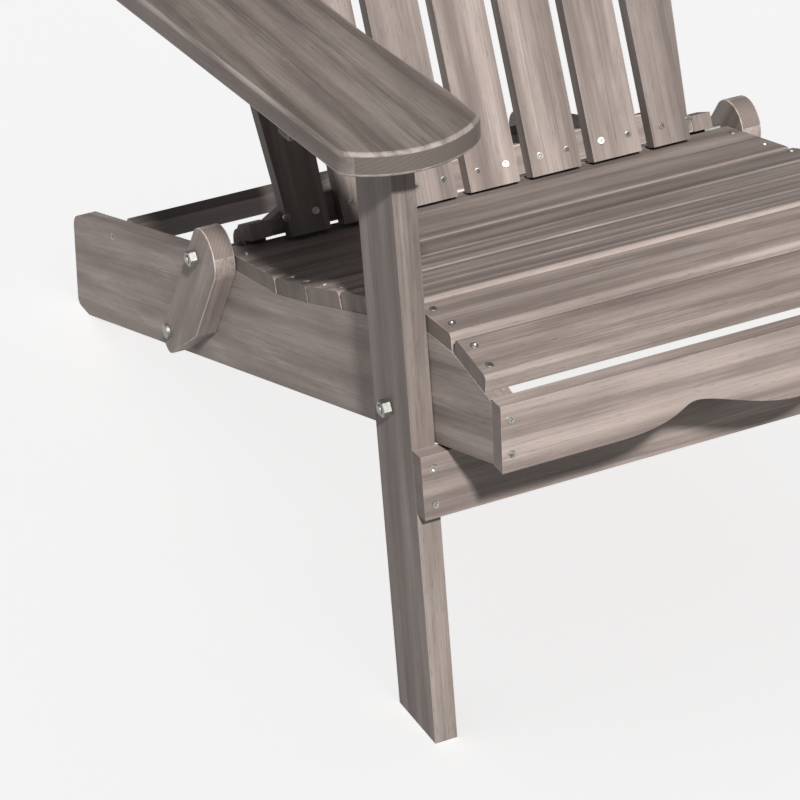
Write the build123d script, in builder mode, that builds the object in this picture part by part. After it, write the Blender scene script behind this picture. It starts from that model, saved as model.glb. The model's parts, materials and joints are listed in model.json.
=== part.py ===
from build123d import *
from math import atan, cos, sin, radians, tan
import os

# Folding Adirondack chair, oiled and grey-washed acacia, steel bolts and screws.
# Millimetres, +Z up, X across the chair, front towards -Y, floor at Z = 0,
# origin on the floor under the middle of the footprint.

# ---- driving dimensions ----------------------------------------------------
origin_y = 393.0          # from the front of the foot back to the origin
leg_outer_x = 279.0       # outer faces of the front legs and of the links
board_t = 20.0            # legs, rails, arms, links
slat_t = 15.0             # seat slats, back slats, apron, stretcher
face_gap = 0.5            # play between faces that slide past one another
rail_outer_x = leg_outer_x - board_t - 2 * face_gap   # outer faces of the seat rails
bolt_r = 4.0              # every pivot bolt
pivot_fit = 0.08          # radial running clearance of a pivot hole
open_fit = 7.0            # radial play of the rear arm bolts, which are left to float
screw_r = 3.4             # countersunk screw heads
screw_h = 2.0

leg_w = 68.0
leg_lean = 0.069          # the legs lean back: run per unit of height
leg_h = 516.0
arm_z = 518.5             # underside of the arms
stretcher_z = 212.0
stretcher_h = 55.5
apron_front_y = -98.0
apron_z = 300.0
apron_h = 57.5            # leaves a gap below the front slat
back_lean = 22.7          # degrees from upright
slat_w = 50.0             # back slats
slat_pitch = 63.3
back_top = 735.0          # length of the middle slat up the lean
back_arch = 95.0          # how much lower the outermost slats end

# pivots, measured from the foot of the front leg (y back, z up)
leg_pivot = (57.5, 288.0)
arm_pivot = (86.0, 495.0)
link_low = (558.0, 124.0)
link_top = (468.0, 240.0)

os.makedirs("parts", exist_ok=True)


def yz(y, z):
    return (y - origin_y, z)


def side_plane(x):
    return Plane.YZ.offset(x)


# ---- the seat rails --------------------------------------------------------
rail_bottom_run = 0.322
rail_bottom_z = 274.5
rail_in_x = rail_outer_x - board_t

# breaks of the scooped top edge: every straight run carries one seat slat
seat_line = [
    (-74.0, 356.0),
    (-18.0, 366.0),
    (52.0, 361.0),
    (122.0, 333.0),
    (192.0, 307.5),
    (263.0, 281.0),
    (333.0, 258.0),
    (451.0, 234.0),
]
rail_outline = [
    yz(-83.0, rail_bottom_z + 83.0 * rail_bottom_run),
    yz(-83.0, 354.5),
] + [yz(y, z) for y, z in seat_line] + [
    yz(474.0, 229.5),
    yz(801.0, 128.0),
    yz(872.0, 106.0),
    yz(884.0, 0.0),
    yz(852.5, 0.0),
]
cross_bar_w = 20.0
cross_bar_h = 22.0
cross_bar_at = (756.0, 131.0)

with BuildPart() as seat_rail_left:
    with BuildSketch(side_plane(-rail_outer_x)) as s:
        with BuildLine() as outline:
            Polyline(*rail_outline, close=True)
        make_face()
        fillet(s.vertices().sort_by(Axis.X)[-2:].sort_by(Axis.Y)[1], 22.0)
        fillet(s.vertices().sort_by(Axis.X)[-1], 7.0)
        with Locations(yz(*leg_pivot), yz(*link_low)):
            Circle(bolt_r, mode=Mode.SUBTRACT)
    extrude(amount=board_t)
    with BuildSketch(side_plane(-rail_outer_x)) as pocket:
        with Locations(yz(cross_bar_at[0], cross_bar_at[1])):
            Circle(screw_r)
    extrude(amount=screw_h, mode=Mode.SUBTRACT)
seat_rail_left.part.label = "seat_rail_left"
export_step(seat_rail_left.part, "parts/seat_rail_left.step")

with BuildPart() as seat_rail_right:
    with BuildSketch(side_plane(rail_in_x)) as s:
        with BuildLine() as outline:
            Polyline(*rail_outline, close=True)
        make_face()
        fillet(s.vertices().sort_by(Axis.X)[-2:].sort_by(Axis.Y)[1], 22.0)
        fillet(s.vertices().sort_by(Axis.X)[-1], 7.0)
        with Locations(yz(*leg_pivot), yz(*link_low)):
            Circle(bolt_r, mode=Mode.SUBTRACT)
    extrude(amount=board_t)
    with BuildSketch(side_plane(rail_outer_x)) as pocket:
        with Locations(yz(cross_bar_at[0], cross_bar_at[1])):
            Circle(screw_r)
    extrude(amount=-screw_h, mode=Mode.SUBTRACT)
seat_rail_right.part.label = "seat_rail_right"
export_step(seat_rail_right.part, "parts/seat_rail_right.step")

with BuildPart() as rear_cross_bar:
    with BuildSketch(side_plane(-rail_in_x)) as s:
        with Locations(yz(*cross_bar_at)):
            RectangleRounded(cross_bar_w, cross_bar_h, 2.0)
    extrude(amount=2 * rail_in_x)
rear_cross_bar.part.label = "rear_cross_bar"
export_step(rear_cross_bar.part, "parts/rear_cross_bar.step")

# ---- the seat slats --------------------------------------------------------
seat_half = rail_outer_x - 0.5
seat_screw_x = rail_outer_x - board_t / 2
slat_names = [
    "seat_slat_front",
    "seat_slat_2",
    "seat_slat_3",
    "seat_slat_4",
    "seat_slat_5",
    "seat_slat_6",
    "seat_board_rear",
]
slat_gap = 4.0
slat_frames = []
for (y0, z0), (y1, z1) in zip(seat_line[:-1], seat_line[1:]):
    run = Vector(0, y1 - y0, z1 - z0)
    middle = Vector(0, (y0 + y1) / 2 - origin_y, (z0 + z1) / 2)
    slat_frames.append((middle, run.normalized(), run.length))

for name, (middle, along, length) in zip(slat_names, slat_frames):
    edge = Plane(origin=middle - Vector(seat_half, 0, 0), x_dir=along, z_dir=(1, 0, 0))
    face = Plane(origin=middle, x_dir=(1, 0, 0), z_dir=Vector(1, 0, 0).cross(along))
    front_trim = 3.0 if name == "seat_slat_front" else slat_gap / 2
    rear_trim = 1.0 if name == "seat_board_rear" else slat_gap / 2
    width = length - front_trim - rear_trim
    shift = (front_trim - rear_trim) / 2
    with BuildPart() as seat_slat:
        with BuildSketch(edge) as s:
            with Locations((shift, slat_t / 2)):
                Rectangle(width, slat_t)
            fillet(s.vertices().sort_by(Axis.Y)[-2:], 4.5)
        extrude(amount=2 * seat_half)
        with BuildSketch(face.offset(slat_t)) as pockets:
            with GridLocations(2 * seat_screw_x, width * 0.5, 2, 2):
                Circle(screw_r)
        extrude(amount=-screw_h, mode=Mode.SUBTRACT)
    seat_slat.part.label = name
    export_step(seat_slat.part, "parts/" + name + ".step")

with BuildPart() as seat_screws:
    for name, (middle, along, length) in zip(slat_names, slat_frames):
        face = Plane(origin=middle, x_dir=(1, 0, 0), z_dir=Vector(1, 0, 0).cross(along))
        front_trim = 3.0 if name == "seat_slat_front" else slat_gap / 2
        rear_trim = 1.0 if name == "seat_board_rear" else slat_gap / 2
        width = length - front_trim - rear_trim
        with BuildSketch(face.offset(slat_t - screw_h)) as heads:
            with GridLocations(2 * seat_screw_x, width * 0.5, 2, 2):
                Circle(screw_r)
        extrude(amount=screw_h - 0.2)
seat_screws.part.label = "seat_screws"
export_step(seat_screws.part, "parts/seat_screws.step")

# ---- the front apron with its wavy lower edge ------------------------------
apron_back_y = apron_front_y + slat_t
apron_screws = [(side * (rail_outer_x - 8.0), z) for side in (-1, 1) for z in (345.0, 315.0)]
with BuildPart() as front_apron:
    with BuildSketch(Plane.XZ.offset(origin_y - apron_back_y)) as s:
        with BuildLine() as outline:
            Polyline(
                (-163.0, apron_z),
                (-rail_outer_x, apron_z),
                (-rail_outer_x, apron_z + apron_h),
                (rail_outer_x, apron_z + apron_h),
                (rail_outer_x, apron_z),
                (163.0, apron_z),
            )
            Spline(
                (163.0, apron_z),
                (92.0, apron_z + 17.0),
                (0.0, apron_z - 5.0),
                (-92.0, apron_z + 17.0),
                (-163.0, apron_z),
                tangents=((-1, 0), (-1, 0)),
            )
        make_face()
    extrude(amount=slat_t)
    with BuildSketch(Plane.XZ.offset(origin_y - apron_front_y)) as pockets:
        with Locations(*apron_screws):
            Circle(screw_r)
    extrude(amount=-screw_h, mode=Mode.SUBTRACT)
front_apron.part.label = "front_apron"
export_step(front_apron.part, "parts/front_apron.step")

with BuildPart() as apron_screw_heads:
    with BuildSketch(Plane.XZ.offset(origin_y - apron_front_y - screw_h)) as heads:
        with Locations(*apron_screws):
            Circle(screw_r)
    extrude(amount=screw_h - 0.2)
apron_screw_heads.part.label = "apron_screws"
export_step(apron_screw_heads.part, "parts/apron_screws.step")

with BuildPart() as bar_screws:
    with BuildSketch(side_plane(-rail_outer_x + 0.2)) as heads:
        with Locations(yz(*cross_bar_at)):
            Circle(screw_r)
    extrude(amount=screw_h - 0.2)
    with BuildSketch(side_plane(rail_outer_x - 0.2)) as heads:
        with Locations(yz(*cross_bar_at)):
            Circle(screw_r)
    extrude(amount=-(screw_h - 0.2))
bar_screws.part.label = "bar_screws"
export_step(bar_screws.part, "parts/bar_screws.step")

# ---- the front legs and their stretcher ------------------------------------
leg_in_x = leg_outer_x - board_t
leg_top_y = leg_lean * leg_h
corner = 9.0              # cut off the top rear corner so that it clears the arm
leg_outline = [
    yz(0.0, 0.0),
    yz(leg_w, 0.0),
    yz(leg_lean * (leg_h - corner) + leg_w, leg_h - corner),
    yz(leg_top_y + leg_w - corner, leg_h),
    yz(leg_top_y, leg_h),
]
stretcher_mid_z = stretcher_z + stretcher_h / 2
stretcher_plane = Plane(
    origin=(0, leg_lean * stretcher_mid_z - origin_y, stretcher_mid_z),
    x_dir=(1, 0, 0),
    z_dir=(0, -1, leg_lean),
)
stretcher_screws_at = [
    (-leg_outer_x + board_t / 2, 16.0),
    (-leg_outer_x + board_t / 2, -16.0),
    (leg_outer_x - board_t / 2, 16.0),
    (leg_outer_x - board_t / 2, -16.0),
]
arm_bolt_into_leg = 12.0

with BuildPart() as leg_left:
    with BuildSketch(side_plane(-leg_outer_x)) as s:
        with BuildLine() as outline:
            Polyline(*leg_outline, close=True)
        make_face()
        with Locations(yz(*leg_pivot)):
            Circle(bolt_r + pivot_fit, mode=Mode.SUBTRACT)
    extrude(amount=board_t)
    with BuildSketch(side_plane(-leg_in_x)) as bore:
        with Locations(yz(*arm_pivot)):
            Circle(bolt_r)
    extrude(amount=-arm_bolt_into_leg, mode=Mode.SUBTRACT)
leg_left.part.label = "leg_left"
export_step(leg_left.part, "parts/leg_left.step")

with BuildPart() as leg_right:
    with BuildSketch(side_plane(leg_in_x)) as s:
        with BuildLine() as outline:
            Polyline(*leg_outline, close=True)
        make_face()
        with Locations(yz(*leg_pivot)):
            Circle(bolt_r + pivot_fit, mode=Mode.SUBTRACT)
    extrude(amount=board_t)
    with BuildSketch(side_plane(leg_in_x)) as bore:
        with Locations(yz(*arm_pivot)):
            Circle(bolt_r)
    extrude(amount=arm_bolt_into_leg, mode=Mode.SUBTRACT)
leg_right.part.label = "leg_right"
export_step(leg_right.part, "parts/leg_right.step")

with BuildPart() as lower_stretcher:
    with BuildSketch(stretcher_plane) as s:
        Rectangle(2 * leg_outer_x, stretcher_h)
    extrude(amount=slat_t)
    with BuildSketch(stretcher_plane.offset(slat_t)) as pockets:
        with Locations(*stretcher_screws_at):
            Circle(screw_r)
    extrude(amount=-screw_h, mode=Mode.SUBTRACT)
lower_stretcher.part.label = "lower_stretcher"
export_step(lower_stretcher.part, "parts/lower_stretcher.step")

with BuildPart() as stretcher_screws:
    with BuildSketch(stretcher_plane.offset(slat_t - screw_h)) as heads:
        with Locations(*stretcher_screws_at):
            Circle(screw_r)
    extrude(amount=screw_h - 0.2)
stretcher_screws.part.label = "stretcher_screws"
export_step(stretcher_screws.part, "parts/stretcher_screws.step")

# ---- pivot bolts, washers and nuts -----------------------------------------
washer_r = 11.0
washer_t = 1.6
head_r = 8.0
head_h = 4.0
nut_r = 7.5
nut_h = 6.5


def pivot_bolts(y, z, sides=(-1, 1)):
    # carriage bolts: domed head inside the seat rail, shank out through the moving board
    for side in sides:
        with BuildSketch(side_plane(side * (rail_in_x - head_h))) as head:
            with Locations(yz(y, z)):
                Circle(head_r)
        extrude(head.sketch, amount=side * head_h)
        with BuildSketch(side_plane(side * rail_in_x)) as shank:
            with Locations(yz(y, z)):
                Circle(bolt_r)
        extrude(shank.sketch, amount=side * (leg_outer_x - rail_in_x + washer_t + face_gap + nut_h + 1.5))


def pivot_nuts(y, z, sides=(-1, 1)):
    for side in sides:
        with BuildSketch(side_plane(side * (leg_outer_x + face_gap))) as washer:
            with Locations(yz(y, z)):
                Circle(washer_r)
                Circle(bolt_r, mode=Mode.SUBTRACT)
        extrude(washer.sketch, amount=side * washer_t)
        with BuildSketch(side_plane(side * (leg_outer_x + face_gap + washer_t))) as nut:
            with Locations(yz(y, z)):
                RegularPolygon(nut_r, 6)
                Circle(bolt_r, mode=Mode.SUBTRACT)
        extrude(nut.sketch, amount=side * nut_h)


with BuildPart() as leg_pivot_bolts:
    pivot_bolts(*leg_pivot)
leg_pivot_bolts.part.label = "leg_pivot_bolts"
export_step(leg_pivot_bolts.part, "parts/leg_pivot_bolts.step")

with BuildPart() as leg_pivot_nuts:
    pivot_nuts(*leg_pivot)
leg_pivot_nuts.part.label = "leg_pivot_nuts"
export_step(leg_pivot_nuts.part, "parts/leg_pivot_nuts.step")

# the lower link bolts end in a low domed cap instead of a nut
cap_r = 7.0
cap_h = 3.0
with BuildPart() as link_pivot_bolts:
    for side in (-1, 1):
        with BuildSketch(side_plane(side * (rail_in_x - head_h))) as head:
            with Locations(yz(*link_low)):
                Circle(head_r)
        extrude(amount=side * head_h)
        with BuildSketch(side_plane(side * rail_in_x)) as shank:
            with Locations(yz(*link_low)):
                Circle(bolt_r)
        extrude(amount=side * (leg_outer_x - rail_in_x + face_gap))
        with BuildSketch(side_plane(side * (leg_outer_x + face_gap))) as cap:
            with Locations(yz(*link_low)):
                Circle(cap_r)
        extrude(amount=side * cap_h)
link_pivot_bolts.part.label = "link_pivot_bolts"
export_step(link_pivot_bolts.part, "parts/link_pivot_bolts.step")

# ---- the links -------------------------------------------------------------
link_crown = (449.5, 248.0)
link_r = 26.5
link_run = Vector(0.575, -0.818)
link_side = Vector(0.818, 0.575)
crown_front = Vector(*link_crown) - link_side * link_r
crown_rear = Vector(*link_crown) + link_side * link_r
crown_top = Vector(*link_crown) - link_run * link_r
foot_front = crown_front + link_run * 101.0
foot_rear = crown_rear + link_run * 187.0
foot_low = foot_rear + Vector(-19.5, -12.5)


def link_profile(start_x):
    with BuildSketch(side_plane(start_x)) as s:
        with BuildLine() as outline:
            ThreePointArc(
                yz(crown_front.X, crown_front.Y),
                yz(crown_top.X, crown_top.Y),
                yz(crown_rear.X, crown_rear.Y),
            )
            Line(yz(crown_rear.X, crown_rear.Y), yz(foot_rear.X, foot_rear.Y))
            Line(yz(foot_rear.X, foot_rear.Y), yz(foot_low.X, foot_low.Y))
            Line(yz(foot_low.X, foot_low.Y), yz(foot_front.X, foot_front.Y))
            Line(yz(foot_front.X, foot_front.Y), yz(crown_front.X, crown_front.Y))
        make_face()
        fillet(s.vertices().sort_by(Axis.Y)[:3], 11.0)
        with Locations(yz(*link_low), yz(*link_top)):
            Circle(bolt_r + pivot_fit, mode=Mode.SUBTRACT)
    return s.sketch


with BuildPart() as link_left:
    extrude(link_profile(-leg_outer_x), amount=board_t)
link_left.part.label = "link_left"
export_step(link_left.part, "parts/link_left.step")

with BuildPart() as link_right:
    extrude(link_profile(leg_in_x), amount=board_t)
link_right.part.label = "link_right"
export_step(link_right.part, "parts/link_right.step")

# ---- the back: seven slats on three rails ----------------------------------
# u runs up the lean from the foot of the slats, n runs back out of their faces
back_foot = (421.0, 252.0)
lean_s = sin(radians(back_lean))
lean_c = cos(radians(back_lean))


def back_point(n, u):
    return (back_foot[0] + n * lean_c + u * lean_s, back_foot[1] - n * lean_s + u * lean_c)


def back_side(n, u):
    y, z = back_point(n, u)
    return yz(y, z)


back_face = Plane(
    origin=(0, back_foot[0] - origin_y, back_foot[1]),
    x_dir=(1, 0, 0),
    z_dir=(0, -lean_c, lean_s),
)
foot_u = 8.0              # the slats stop this far up, clear of the rear seat board
lower_rail_u = (12.0, 40.0)
cheek_top_u = 27.0        # low enough to stay out of sight above the seat
arm_rail_u = (254.0, 294.0)
upper_rail_u = (548.0, 584.0)
rail_n = (slat_t, slat_t + board_t)
rear_pivot = back_point((rail_n[0] + rail_n[1]) / 2, (arm_rail_u[0] + arm_rail_u[1]) / 2)
back_half = 3 * slat_pitch + slat_w / 2
lower_rail_half = rail_in_x - 2.0 - board_t   # leaves room for the cheeks inside the rails
arm_rail_half = 235.5
upper_rail_half = back_half - 14.0
slat_screw_dx = 14.0


def top_at(x):
    return back_top - back_arch * (x / back_half) ** 2


rail_mids = [
    (lower_rail_u[0] + lower_rail_u[1]) / 2,
    (arm_rail_u[0] + arm_rail_u[1]) / 2,
    (upper_rail_u[0] + upper_rail_u[1]) / 2,
]

for number in range(7):
    centre = (number - 3) * slat_pitch
    left = centre - slat_w / 2
    right = centre + slat_w / 2
    # the two outer slats narrow towards their feet
    foot_left = left + (12.0 if number == 0 else 0.0)
    foot_right = right - (12.0 if number == 6 else 0.0)
    with BuildPart() as back_slat:
        with BuildSketch(back_face.offset(-slat_t)) as s:
            with BuildLine() as outline:
                Polyline(
                    (left, top_at(left)),
                    (left, 200.0),
                    (foot_left, foot_u),
                    (foot_right, foot_u),
                    (right, 200.0),
                    (right, top_at(right)),
                )
                ThreePointArc(
                    (right, top_at(right)),
                    (centre, top_at(centre)),
                    (left, top_at(left)),
                )
            make_face()
            fillet(s.vertices().sort_by(Axis.Y)[-2:], 9.0)
        extrude(amount=slat_t)
        with BuildSketch(back_face) as pockets:
            for mid in rail_mids:
                with Locations((centre - slat_screw_dx, mid), (centre + slat_screw_dx, mid)):
                    Circle(screw_r)
        extrude(amount=-screw_h, mode=Mode.SUBTRACT)
    back_slat.part.label = "back_slat_" + str(number + 1)
    export_step(back_slat.part, "parts/back_slat_" + str(number + 1) + ".step")

with BuildPart() as back_screws:
    with BuildSketch(back_face.offset(-screw_h)) as heads:
        for number in range(7):
            centre = (number - 3) * slat_pitch
            for mid in rail_mids:
                with Locations((centre - slat_screw_dx, mid), (centre + slat_screw_dx, mid)):
                    Circle(screw_r)
    extrude(amount=screw_h - 0.2)
back_screws.part.label = "back_screws"
export_step(back_screws.part, "parts/back_screws.step")

rail_rows = [
    ("back_rail_lower", lower_rail_u, lower_rail_half),
    ("back_rail_arm", arm_rail_u, arm_rail_half),
    ("back_rail_upper", upper_rail_u, upper_rail_half),
]
bolt_into_rail = 30.0
for name, (low, high), half in rail_rows:
    with BuildPart() as back_rail:
        with BuildSketch(side_plane(-half)) as s:
            with BuildLine() as outline:
                Polyline(
                    back_side(rail_n[0], low),
                    back_side(rail_n[0], high),
                    back_side(rail_n[1], high),
                    back_side(rail_n[1], low),
                    close=True,
                )
            make_face()
        extrude(amount=2 * half)
        if name == "back_rail_arm":
            for side in (-1, 1):
                with BuildSketch(side_plane(side * half)) as bore:
                    with Locations(yz(*rear_pivot)):
                        Circle(bolt_r)
                extrude(amount=-side * bolt_into_rail, mode=Mode.SUBTRACT)
        if name == "back_rail_lower":
            # the top corners are cut off, so that the ends stay hidden behind the outer slats
            with BuildSketch(back_face.offset(-rail_n[0])) as corner_cuts:
                for side in (-1, 1):
                    with BuildLine() as cut:
                        Polyline(
                            (side * half, high),
                            (side * half, cheek_top_u),
                            (side * (half - 26.0), high),
                            close=True,
                        )
                    make_face()
            extrude(amount=-board_t, mode=Mode.SUBTRACT)
    back_rail.part.label = name
    export_step(back_rail.part, "parts/" + name + ".step")

# cheeks on the ends of the lower rail carry the bolts of the links
cheek_in_x = lower_rail_half
cheek_out_x = cheek_in_x + board_t
cheek_r = 16.0


def cheek_profile(start_x):
    with BuildSketch(side_plane(start_x)) as s:
        with BuildLine() as outline:
            Polyline(
                back_side(rail_n[0], lower_rail_u[0]),
                back_side(rail_n[0], cheek_top_u),
                back_side(rail_n[1] + 6.0, cheek_top_u),
                back_side(63.5, 12.0),
                back_side(55.0, 2.0),
                back_side(36.0, 2.0),
                back_side(34.0, lower_rail_u[0]),
                close=True,
            )
        make_face()
        with Locations(yz(*link_top)):
            Circle(cheek_r)
            Circle(bolt_r, mode=Mode.SUBTRACT)
    return s.sketch


with BuildPart() as back_cheek_left:
    extrude(cheek_profile(-cheek_out_x), amount=board_t)
back_cheek_left.part.label = "back_cheek_left"
export_step(back_cheek_left.part, "parts/back_cheek_left.step")

with BuildPart() as back_cheek_right:
    extrude(cheek_profile(cheek_in_x), amount=board_t)
back_cheek_right.part.label = "back_cheek_right"
export_step(back_cheek_right.part, "parts/back_cheek_right.step")

with BuildPart() as back_pivot_bolts:
    for side in (-1, 1):
        with BuildSketch(side_plane(side * (cheek_in_x - head_h))) as head:
            with Locations(yz(*link_top)):
                Circle(head_r)
        extrude(amount=side * head_h)
        with BuildSketch(side_plane(side * cheek_in_x)) as shank:
            with Locations(yz(*link_top)):
                Circle(bolt_r)
        extrude(amount=side * (leg_outer_x - cheek_in_x + washer_t + face_gap + nut_h + 1.5))
back_pivot_bolts.part.label = "back_pivot_bolts"
export_step(back_pivot_bolts.part, "parts/back_pivot_bolts.step")

with BuildPart() as back_pivot_nuts:
    pivot_nuts(*link_top)
back_pivot_nuts.part.label = "back_pivot_nuts"
export_step(back_pivot_nuts.part, "parts/back_pivot_nuts.step")

# ---- the arms --------------------------------------------------------------
arm_inner_front_x = 209.0
arm_outer_front_x = 330.0
arm_outer_rear_x = 360.0
arm_inner_rear_x = arm_rail_half + 1.0
arm_rear_y = 612.0
block_out_x = leg_in_x - face_gap
block_in_x = block_out_x - board_t
block_low_r = 14.0
bracket_in_x = arm_inner_rear_x
bracket_out_x = bracket_in_x + board_t
bracket_r = 22.0
cleat_drop = 20.0
cleat_y = (129.0, 149.0)


def arm_board(side):
    with BuildSketch(Plane.XY.offset(arm_z)) as s:
        with BuildLine() as outline:
            Spline(
                (side * arm_inner_front_x, 19.0 - origin_y),
                (side * (arm_inner_front_x + 1.0), 79.0 - origin_y),
                (side * 215.0, 155.0 - origin_y),
                (side * 218.0, 240.0 - origin_y),
                (side * 219.5, 360.0 - origin_y),
                (side * 228.0, 450.0 - origin_y),
                (side * arm_inner_rear_x, 510.0 - origin_y),
                tangents=((0, 1), (0, 1)),
            )
            Line(
                (side * arm_inner_rear_x, 510.0 - origin_y),
                (side * arm_inner_rear_x, arm_rear_y - origin_y),
            )
            Line(
                (side * arm_inner_rear_x, arm_rear_y - origin_y),
                (side * arm_outer_rear_x, arm_rear_y - origin_y),
            )
            Line(
                (side * arm_outer_rear_x, arm_rear_y - origin_y),
                (side * arm_outer_front_x, 13.0 - origin_y),
            )
            ThreePointArc(
                (side * arm_outer_front_x, 13.0 - origin_y),
                (side * 266.0, -11.0 - origin_y),
                (side * arm_inner_front_x, 19.0 - origin_y),
            )
        make_face()
        fillet(s.vertices().sort_by(Axis.Y)[-2:], 26.0)
        fillet(s.vertices().sort_by(Axis.Y)[:2], 14.0)
    extrude(s.sketch, amount=board_t)


def arm_block(side):
    start = -block_out_x if side < 0 else block_in_x
    with BuildSketch(side_plane(start)) as s:
        with BuildLine() as outline:
            Polyline(
                yz(arm_pivot[0] - block_low_r, arm_z),
                yz(arm_pivot[0] - block_low_r, arm_pivot[1]),
                yz(arm_pivot[0], arm_pivot[1] - block_low_r),
                yz(122.0, arm_pivot[1] - block_low_r),
                yz(122.0, arm_z),
                close=True,
            )
        make_face()
        with Locations(yz(*arm_pivot)):
            Circle(block_low_r)
            Circle(bolt_r + pivot_fit, mode=Mode.SUBTRACT)
    extrude(s.sketch, amount=board_t)


def arm_cleat(side):
    near = -321.0 if side < 0 else 225.0
    with BuildSketch(Plane.XY.offset(arm_z - cleat_drop)) as s:
        with Locations((near + 48.0, (cleat_y[0] + cleat_y[1]) / 2 - origin_y)):
            Rectangle(96.0, cleat_y[1] - cleat_y[0])
    extrude(s.sketch, amount=cleat_drop)


def arm_bracket(side):
    start = -bracket_out_x if side < 0 else bracket_in_x
    y, z = rear_pivot
    with BuildSketch(side_plane(start)) as s:
        with BuildLine() as outline:
            Polyline(
                yz(y - 30.0, arm_z),
                yz(y - bracket_r, z),
                yz(y, z - bracket_r),
                yz(y + bracket_r, z),
                yz(y + 30.0, arm_z),
                close=True,
            )
        make_face()
        with Locations(yz(y, z)):
            Circle(bracket_r)
        with BuildLine() as cap:
            Polyline(
                yz(y - 40.0, arm_z),
                yz(y + 40.0, arm_z),
                yz(y + 40.0, arm_z + 40.0),
                yz(y - 40.0, arm_z + 40.0),
                close=True,
            )
        make_face(mode=Mode.SUBTRACT)
        with Locations(yz(y, z)):
            Circle(bolt_r + open_fit, mode=Mode.SUBTRACT)
    extrude(s.sketch, amount=board_t)


for side, hand in ((-1, "left"), (1, "right")):
    with BuildPart() as arm:
        arm_board(side)
    arm.part.label = "arm_" + hand
    export_step(arm.part, "parts/arm_" + hand + ".step")

    with BuildPart() as block:
        arm_block(side)
    block.part.label = "arm_block_" + hand
    export_step(block.part, "parts/arm_block_" + hand + ".step")

    with BuildPart() as cleat:
        arm_cleat(side)
    cleat.part.label = "arm_cleat_" + hand
    export_step(cleat.part, "parts/arm_cleat_" + hand + ".step")

    with BuildPart() as bracket:
        arm_bracket(side)
    bracket.part.label = "arm_bracket_" + hand
    export_step(bracket.part, "parts/arm_bracket_" + hand + ".step")

# bolts from the arm blocks into the legs
with BuildPart() as arm_front_bolts:
    for side in (-1, 1):
        with BuildSketch(side_plane(side * (block_in_x - face_gap))) as head:
            with Locations(yz(*arm_pivot)):
                Circle(head_r)
        extrude(amount=-side * head_h)
        with BuildSketch(side_plane(side * (block_in_x - face_gap))) as shank:
            with Locations(yz(*arm_pivot)):
                Circle(bolt_r)
        extrude(amount=side * (board_t + 2 * face_gap + arm_bolt_into_leg))
arm_front_bolts.part.label = "arm_front_bolts"
export_step(arm_front_bolts.part, "parts/arm_front_bolts.step")

# bolts from the arm brackets into the ends of the arm rail, on wide washers
wide_washer_r = 14.0
with BuildPart() as arm_rear_bolts:
    for side in (-1, 1):
        with BuildSketch(side_plane(side * (bracket_out_x + face_gap))) as washer:
            with Locations(yz(*rear_pivot)):
                Circle(wide_washer_r)
        extrude(amount=side * washer_t)
        with BuildSketch(side_plane(side * (bracket_out_x + face_gap + washer_t))) as head:
            with Locations(yz(*rear_pivot)):
                Circle(head_r)
        extrude(amount=side * head_h)
        with BuildSketch(side_plane(side * (bracket_out_x + face_gap))) as shank:
            with Locations(yz(*rear_pivot)):
                Circle(bolt_r)
        extrude(amount=-side * (bracket_out_x + face_gap - arm_rail_half + bolt_into_rail))
arm_rear_bolts.part.label = "arm_rear_bolts"
export_step(arm_rear_bolts.part, "parts/arm_rear_bolts.step")
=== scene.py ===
"""Folding Adirondack chair: eased, grey-washed acacia boards, steel screws and pivot bolts."""

import json
import math
import random

import bmesh
import bpy
from bpy.props import FloatProperty, FloatVectorProperty, IntProperty, PointerProperty
from mathutils import Matrix, Vector


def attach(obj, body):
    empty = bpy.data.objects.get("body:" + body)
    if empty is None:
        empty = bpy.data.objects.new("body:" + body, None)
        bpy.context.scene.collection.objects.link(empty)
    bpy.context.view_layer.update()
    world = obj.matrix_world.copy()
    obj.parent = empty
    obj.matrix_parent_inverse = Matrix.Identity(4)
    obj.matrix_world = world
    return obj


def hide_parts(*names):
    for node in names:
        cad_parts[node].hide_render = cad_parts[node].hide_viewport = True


bl_info = {
    "name": "Folding Adirondack Chair",
    "version": (1, 0, 0),
    "blender": (4, 5, 0),
    "location": "View3D > Sidebar > Chair",
    "description": "Builds the boards, screws, bolts and studio of a folding Adirondack chair",
    "category": "Add Mesh",
}

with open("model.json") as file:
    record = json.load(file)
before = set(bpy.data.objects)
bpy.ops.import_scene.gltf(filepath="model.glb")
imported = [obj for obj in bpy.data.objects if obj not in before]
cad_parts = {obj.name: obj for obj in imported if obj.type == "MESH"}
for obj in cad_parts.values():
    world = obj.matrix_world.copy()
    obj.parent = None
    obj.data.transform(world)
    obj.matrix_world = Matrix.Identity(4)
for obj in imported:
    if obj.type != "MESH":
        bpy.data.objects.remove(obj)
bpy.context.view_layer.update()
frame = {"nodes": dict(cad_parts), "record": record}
NODES = frame["nodes"]
BODY_OF = {
    name: body
    for body, names in frame["record"]["behaviour"]["bodies"].items()
    for name in names
}

MM = 0.001
CAD_MERGE = 0.01 * MM
X = Vector((1.0, 0.0, 0.0))
Y = Vector((0.0, 1.0, 0.0))
Z = Vector((0.0, 0.0, 1.0))

BACK_LEAN = math.radians(22.7)
UP_THE_BACK = Vector((0.0, math.sin(BACK_LEAN), math.cos(BACK_LEAN)))
UP_THE_LEG = Vector((0.0, 0.069, 1.0)).normalized()
DOWN_THE_RAIL = Vector((0.0, 1.0, -0.322)).normalized()
DOWN_THE_LINK = Vector((0.0, 0.575, -0.818)).normalized()


def linear(hex_colour):
    """sRGB hex value to linear red, green and blue."""
    parts = [int(hex_colour[i : i + 2], 16) / 255 for i in (1, 3, 5)]
    return tuple(c / 12.92 if c <= 0.04045 else ((c + 0.055) / 1.055) ** 2.4 for c in parts)


# ---- what a user may change --------------------------------------------------


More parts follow.
